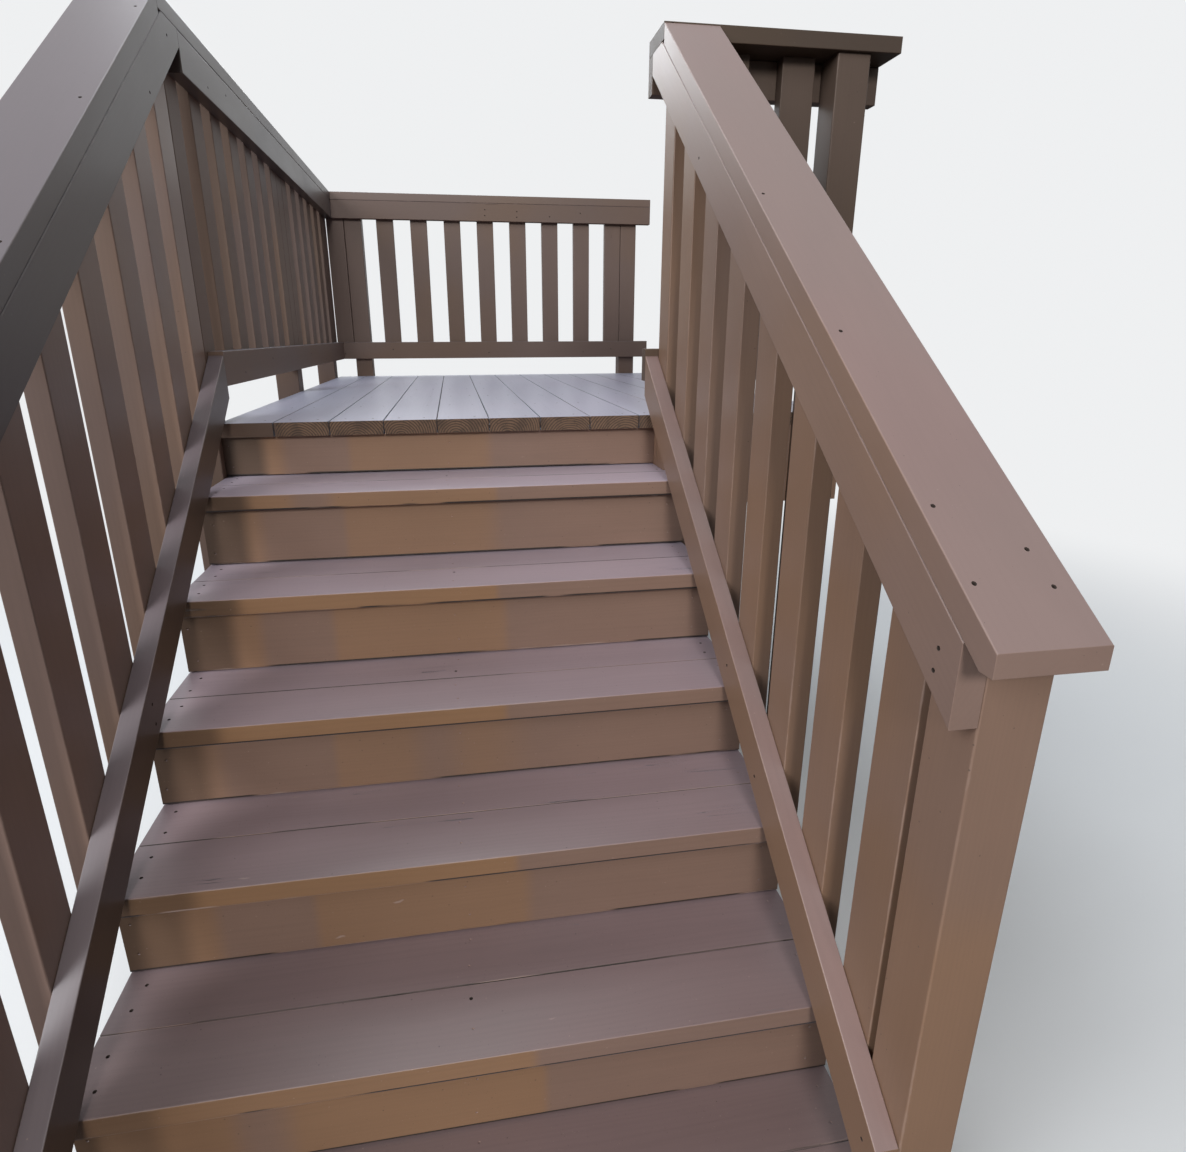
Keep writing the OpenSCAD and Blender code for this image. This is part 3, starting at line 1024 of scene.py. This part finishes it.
@cache
def pit_grime():
    """Dark bare wood inside a screw hole, darkened further as painted shade."""
    material, n, shader = surface("Screw Hole")
    grime_and_shade = bpy.context.scene.deck_paint.grime_and_shade
    base = n.blend(n.noise(n.object_place(), 900.0, 2.0), rgba(grime_and_shade, 0.6), rgba(grime_and_shade, 1.8))
    n.plug(shader, {"Base Color": base, "Roughness": 0.9})
    return material


def screw_steel(name, shine, clean):
    """Plated screw heads, scuffed and partly covered by dirt and paint."""
    colours = bpy.context.scene.deck_paint
    material, n, shader = surface(name)
    at = n.object_place()
    covered = n.eased(n.noise(at, 14.0, 2.0), clean, clean + 0.12)
    dim, bright = (rgba(colours.steel, part * shine) for part in (0.6, 1.25))
    metal = n.blend(n.noise(at, 1400.0, 3.0), dim, bright)
    n.plug(shader, {
        "Base Color": n.blend(covered, metal, rgba(colours.grime_and_shade, 1.5)),
        "Metallic": n.scaled(covered, -0.85, 0.9),
        "Roughness": n.scaled(covered, 0.35, 0.30),
    })
    return material


@cache
def joint_fill():
    """Paint that bridges a joint, broken where dirt shows."""
    colours = bpy.context.scene.deck_paint
    material, n, shader = surface("Joint Fill")
    broken = n.eased(n.streaked(n.object_place(), 2.2, 9.0, 3.0, 0.6), 0.42, 0.48)
    base = n.blend(broken, rgba(colours.tread, 0.92), rgba(colours.grime_and_shade))
    n.plug(shader, {"Base Color": base, "Roughness": 0.7})
    return material


# Geometry Nodes


def screw_tree():
    """Countersunk screw heads on points, each facing the way its point says."""
    tree = bpy.data.node_groups.new("Screw Heads", "GeometryNodeTree")
    for label, kind, value in (
        ("Points", "Geometry", None), ("Head Diameter", "Float", 0.008), ("Head Depth", "Float", 0.0025),
        ("Seed", "Int", SCREW_SEED), ("Finish", "Material", None),
    ):
        socket = tree.interface.new_socket(label, in_out="INPUT", socket_type="NodeSocket" + kind)
        if value is not None:
            socket.default_value = value
    tree.interface.new_socket("Screws", in_out="OUTPUT", socket_type="NodeSocketGeometry")
    n = Nodes(tree)
    ins = tree.nodes.new("NodeGroupInput").outputs
    wide, deep = ins["Head Diameter"], ins["Head Depth"]
    cone = n.add("GeometryNodeMeshCone", {
        "Vertices": 16, "Depth": deep,
        "Radius Top": n.times(wide, HEAD_TAPER[0]), "Radius Bottom": n.times(wide, HEAD_TAPER[1]),
    })
    lowered = n.add("GeometryNodeTransform", {
        "Geometry": cone.outputs["Mesh"], "Translation": n.joined(0.0, 0.0, n.times(deep, -1.0)),
    })
    slots = n.add("GeometryNodeJoinGeometry")
    for shares in (HEAD_SLOT, HEAD_SLOT[::-1]):
        size = n.joined(*(n.times(wide, part) for part in shares), n.times(deep, 1.1))
        n.plug(slots, {0: n.add("GeometryNodeMeshCube", {"Size": size}).outputs["Mesh"]})
    head = n.add(
        "GeometryNodeMeshBoolean", {"Mesh 1": lowered.outputs[0], "Mesh 2": slots.outputs[0]},
        operation="DIFFERENCE",
    )
    facing = n.add("GeometryNodeInputNamedAttribute", {"Name": "facing"}, data_type="FLOAT_VECTOR")
    turned = n.add("FunctionNodeAlignRotationToVector", {"Vector": facing.outputs["Attribute"]}, axis="Z")
    chance = n.add("FunctionNodeRandomValue", {"Min": 0.0, "Max": math.tau, "Seed": ins["Seed"]})
    angle = next(socket for socket in chance.outputs if socket.enabled)
    spin = n.add("FunctionNodeAxisAngleToRotation", {"Axis": (0, 0, 1), "Angle": angle})
    rotation = n.add(
        "FunctionNodeRotateRotation", {"Rotation": turned.outputs[0], "Rotate By": spin.outputs[0]},
        rotation_space="LOCAL",
    )
    points = n.add("GeometryNodeMeshToPoints", {"Mesh": ins["Points"]})
    placed = n.add("GeometryNodeInstanceOnPoints", {
        "Points": points.outputs[0], "Instance": head.outputs[0], "Rotation": rotation.outputs[0],
    })
    real = n.add("GeometryNodeRealizeInstances", {"Geometry": placed.outputs[0]})
    finish = n.add("GeometryNodeSetMaterial", {"Geometry": real.outputs[0], "Material": ins["Finish"]})
    return n.give(Screws=finish.outputs[0])


def socket_id(tree, name):
    """The identifier of one of the tree's inputs."""
    return next(
        item.identifier for item in tree.interface.items_tree
        if item.item_type == "SOCKET" and item.in_out == "INPUT" and item.name == name
    )


def drive(name, places, tree, finish):
    """One plain mesh of the screw heads that show, sunk a little below their faces."""
    screws = bpy.context.scene.deck_screws
    shown = [(spot, facing) for spot, facing, state in places if state != "painted"]
    mesh = bpy.data.meshes.new(name)
    mesh.from_pydata([spot - facing * screws.sunk for spot, facing in shown], [], [])
    written(mesh, facing=[value for _, facing in shown for value in facing])
    piece = linked(name, mesh)
    modifier = piece.modifiers.new("Screws", "NODES")
    modifier.node_group = tree
    inputs = {"Head Diameter": screws.head, "Head Depth": HEAD_DEPTH, "Seed": SCREW_SEED, "Finish": finish}
    for label, value in inputs.items():
        modifier[socket_id(tree, label)] = value
    apply_modifiers(piece)
    if not piece.data.polygons:
        raise RuntimeError(name + " came out empty")
    piece.data.materials.clear()
    piece.data.materials.append(finish)
    handed_over(piece)


# Operators


def notch_around(node, below, above):
    """The corners of the space that a post needs through boards, its box grown by two margins."""
    low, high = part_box(node)
    return low - Vector(below), high + Vector(above)


class DressTreads(bpy.types.Operator):
    """Finish the treads: two painted boards each, with paint bridging parts of the joint"""

    bl_idname = "deck_stairs.dress_treads"
    bl_label = "Dress Treads"

    def execute(self, context):
        aside = (0.0002, 0.0012, 0.05)
        notches = [
            notch_around("newel_right", aside, aside),
            notch_around("post_stair_top", aside, (0.0, 0.1, 0.0)),
        ]
        for tread in TREADS:
            dress(tread, ACROSS, notches=notches)
            fill_joint(tread)
        return {"FINISHED"}


def fill_joint(tread):
    """Paint and dirt in the joint between the two boards of a tread."""
    front, back = sorted(boards_of(tread, ACROSS), key=lambda board: board.low.y)
    inset, bottom, top = TREAD_FILL
    low = Vector((front.low.x + inset, front.high.y, front.high.z - bottom))
    high = Vector((middle_of("stringer_right").x, back.low.y, front.high.z - top))
    mesh = block_mesh(low, high, tread + "_joint")
    mesh.materials.append(joint_fill())
    handed_over(linked(tread + "_joint", mesh))


def fill_deck_joints():
    """Dirt that has packed into the joints between the deck boards."""
    boards = sorted(boards_of("deck_boards", UP_THE_FLIGHT), key=lambda board: board.low.x)
    inset, bottom, top = DECK_FILL
    shape = bmesh.new()
    for left, right in zip(boards, boards[1:]):
        low = Vector((left.high.x, left.low.y + inset, left.high.z - bottom))
        high = Vector((right.low.x, left.high.y - inset, left.high.z - top))
        for start, end in map(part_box, DECK_POSTS):
            if start.x < high.x and low.x < end.x:
                low.y = max(low.y, end.y)
        block = block_mesh(low, high)
        shape.from_mesh(block)
        bpy.data.meshes.remove(block)
    mesh = mesh_of(shape, "deck_joints")
    mesh.materials.append(pit_grime())
    handed_over(linked("deck_joints", mesh))


class DressRisers(bpy.types.Operator):
    """Finish the riser boards"""

    bl_idname = "deck_stairs.dress_risers"
    bl_label = "Dress Risers"

    def execute(self, context):
        dress("risers", ACROSS, context.scene.deck_boards.thin_arris)
        return {"FINISHED"}


class DressLanding(bpy.types.Operator):
    """Finish the deck boards with their bare ends, and the frame under them"""

    bl_idname = "deck_stairs.dress_landing"
    bl_label = "Dress Landing"

    def execute(self, context):
        aside = (0.001, 0.0004, 0.0)
        notches = [notch_around(post, aside, aside) for post in DECK_POSTS]
        dress("deck_boards", UP_THE_FLIGHT, notches=notches)
        fill_deck_joints()
        for beam in RIMS[:2] + ("joists", "front_fascia"):
            dress(beam, ACROSS)
        for beam in RIMS[2:]:
            dress(beam, UP_THE_FLIGHT)
        return {"FINISHED"}


class DressStringers(bpy.types.Operator):
    """Paint the cut stringers"""

    bl_idname = "deck_stairs.dress_stringers"
    bl_label = "Dress Stringers"

    def execute(self, context):
        for number, node in enumerate(STRINGERS):
            shape = bmesh.new()
            shape.from_mesh(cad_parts[node].data)
            bmesh.ops.remove_doubles(shape, verts=shape.verts, dist=WELD)
            bmesh.ops.dissolve_limit(shape, angle_limit=FLAT_ANGLE, verts=shape.verts, edges=shape.edges)
            mesh = mesh_of(shape, node + "_timber")
            board = Board((), RAKE, [vertex.co.copy() for vertex in mesh.vertices])
            mesh.materials.append(paint_of(node))
            piece = linked(node + "_timber", mesh)
            ease = piece.modifiers.new("Ease", "BEVEL")
            ease.width = context.scene.deck_boards.thin_arris
            ease.segments = 2
            ease.limit_method = "ANGLE"
            apply_modifiers(piece)
            grained(piece.data, board, 0.3 + 0.2 * number)
            handed_over(piece, node)
        return {"FINISHED"}


class DressPosts(bpy.types.Operator):
    """Finish the newels and posts"""

    bl_idname = "deck_stairs.dress_posts"
    bl_label = "Dress Posts"

    def execute(self, context):
        for post in POSTS:
            dress(post, PLUMB, context.scene.deck_boards.post_arris)
        return {"FINISHED"}


class DressGuards(bpy.types.Operator):
    """Finish the caps, rails and balusters of every guard"""

    bl_idname = "deck_stairs.dress_guards"
    bl_label = "Dress Guards"

    def execute(self, context):
        for guard, (grain, _) in GUARDS.items():
            for part in ("_cap", "_sub_rail", "_bottom_rail"):
                dress(guard + part, grain)
            dress(guard + "_balusters", PLUMB)
        return {"FINISHED"}


class DriveScrews(bpy.types.Operator):
    """Put a screw head in every screw hole that the paint hasn't filled"""

    bl_idname = "deck_stairs.drive_screws"
    bl_label = "Drive Screws"

    def execute(self, context):
        tree = screw_tree()
        bright = screw_steel("Bright Screws", 1.0, 0.50)
        dull = screw_steel("Dull Screws", 0.35, 0.36)
        drive("tread_screws", tread_screws(), tree, dull)
        drive("riser_screws", riser_screws(), tree, bright)
        drive("deck_screws", deck_screws(), tree, dull)
        drive("cap_screws", cap_screws(), tree, dull)
        drive("rail_screws", rail_screws(), tree, dull)
        return {"FINISHED"}


class SetStage(bpy.types.Operator):
    """Set the floor, the lamps and the camera"""

    bl_idname = "deck_stairs.set_stage"
    bl_label = "Set Stage"

    def execute(self, context):
        look = context.scene.deck_stage
        context.scene.view_settings.view_transform = "Standard"
        floor_disc(look)
        room_light(look)
        lamp("front_lamp", (-0.5, -9.4, 4.7), (0.0, -0.2, 1.1), 2.2, look.key, (1.0, 0.97, 0.93))
        lamp("side_lamp", (-6.2, -5.2, 5.2), (0.0, -0.4, 1.0), 5.2, look.side, (0.96, 0.98, 1.0))
        lamp("top_lamp", (-0.6, 2.0, 5.8), (0.0, 0.0, 1.0), 3.2, look.top, (0.92, 0.96, 1.0))
        lamp("back_lamp", (-1.5, 8.0, 6.4), (0.0, 0.8, 1.1), 4.0, look.back, (0.90, 0.95, 1.0))
        photo_camera(context.scene)
        return {"FINISHED"}


def floor_disc(look):
    """A wide floor that pales into the backdrop."""
    shape = bmesh.new()
    bmesh.ops.create_circle(shape, cap_ends=True, segments=96, radius=60)
    floor = linked("floor", mesh_of(shape, "floor"))
    material, n, shader = surface("Pale Floor")
    seen = n.add("ShaderNodeLightPath").outputs["Is Camera Ray"]
    n.plug(shader, {"Base Color": n.blend(seen, rgba(look.bounce), rgba(look.floor)), "Roughness": 0.9})
    far = n.add("ShaderNodeVectorMath", {0: n.object_place()}, operation="LENGTH").outputs["Value"]
    glow = n.add("ShaderNodeEmission", {"Color": rgba(look.backdrop), "Strength": 1.0})
    fade = n.times(n.eased(far, 1.8, 5.0), seen)
    mixed = n.add("ShaderNodeMixShader", {0: fade, 1: shader.outputs[0], 2: glow.outputs[0]})
    n.plug(n.tree.nodes["Material Output"], {"Surface": mixed.outputs[0]})
    floor.data.materials.append(material)


def room_light(look):
    """Even light from all round, with the plain backdrop behind it."""
    world = bpy.data.worlds.new("room")
    bpy.context.scene.world = world
    world.use_nodes = True
    world.node_tree.nodes.clear()
    n = Nodes(world.node_tree)
    rays = n.add("ShaderNodeLightPath").outputs
    seen = n.maths("ADD", rays["Is Camera Ray"], rays["Is Glossy Ray"], clamp=True)
    even = n.add("ShaderNodeBackground", {"Color": (0.76, 0.88, 1.0, 1.0), "Strength": look.sky})
    plain = n.add("ShaderNodeBackground", {"Color": rgba(look.backdrop), "Strength": 1.0})
    mixed = n.add("ShaderNodeMixShader", {0: seen, 1: even.outputs[0], 2: plain.outputs[0]})
    n.add("ShaderNodeOutputWorld", {"Surface": mixed.outputs[0]})


def lamp(name, place, aim, size, level, tint):
    """A large soft lamp that lights a white face at the point it is aimed at to the level."""
    ray = Vector(aim) - Vector(place)
    light = bpy.data.lights.new(name, "AREA")
    light.shape = "DISK"
    light.size = size
    light.energy = level * math.pi ** 2 * ray.length_squared
    light.color = tint
    made = linked(name, light)
    made.location = place
    made.rotation_euler = ray.to_track_quat("-Z", "Y").to_euler()


def photo_camera(scene):
    """The viewpoint: on the lowest step, looking up the flight."""
    data = bpy.data.cameras.new("camera")
    data.sensor_width = 36
    data.lens = 21.99
    data.shift_x = 0.01417
    data.shift_y = -0.01105
    data.clip_start = 0.02
    data.clip_end = 200
    heading, pitch, roll = -0.16273, -0.30616, 0.0027663
    turn = Matrix.Rotation(heading, 3, "Z") @ Matrix.Rotation(pitch, 3, "X") @ Matrix.Rotation(roll, 3, "Y")
    right, ahead, up = (turn.col[i] for i in range(3))
    facing = Matrix((right, up, -ahead)).transposed()
    camera = linked("camera", data)
    camera.matrix_world = Matrix.Translation((-0.21904, -2.5383, 1.45158)) @ facing.to_4x4()
    scene.camera = camera


STEPS = (
    SetStage, DressTreads, DressRisers, DressLanding, DressStringers,
    DressPosts, DressGuards, DriveScrews,
)
GROUPS = {
    "deck_boards": BoardSizes,
    "deck_paint": PaintColours,
    "deck_screws": ScrewSizes,
    "deck_stage": StageLook,
}


class DECKSTAIRS_PT_panel(bpy.types.Panel):
    """Lists the steps that make the stairs"""

    bl_label = "Deck Stairs"
    bl_idname = "DECKSTAIRS_PT_panel"
    bl_space_type = "VIEW_3D"
    bl_region_type = "UI"
    bl_category = "Deck Stairs"

    def draw(self, context):
        for step in STEPS:
            self.layout.operator(step.bl_idname)
        for name in GROUPS:
            settings = getattr(context.scene, name)
            box = self.layout.box()
            for setting in settings.__annotations__:
                box.prop(settings, setting)


def register():
    for name, kind in GROUPS.items():
        bpy.utils.register_class(kind)
        setattr(bpy.types.Scene, name, bpy.props.PointerProperty(type=kind))
    for kind in STEPS + (DECKSTAIRS_PT_panel,):
        bpy.utils.register_class(kind)


def unregister():
    for kind in (DECKSTAIRS_PT_panel,) + STEPS[::-1]:
        bpy.utils.unregister_class(kind)
    for name, kind in GROUPS.items():
        delattr(bpy.types.Scene, name)
        bpy.utils.unregister_class(kind)


def main():
    register()
    steps = bpy.ops.deck_stairs
    steps.set_stage()
    steps.dress_treads()
    steps.dress_risers()
    steps.dress_landing()
    steps.dress_stringers()
    steps.dress_posts()
    steps.dress_guards()
    steps.drive_screws()


if __name__ == "__main__":
    main()
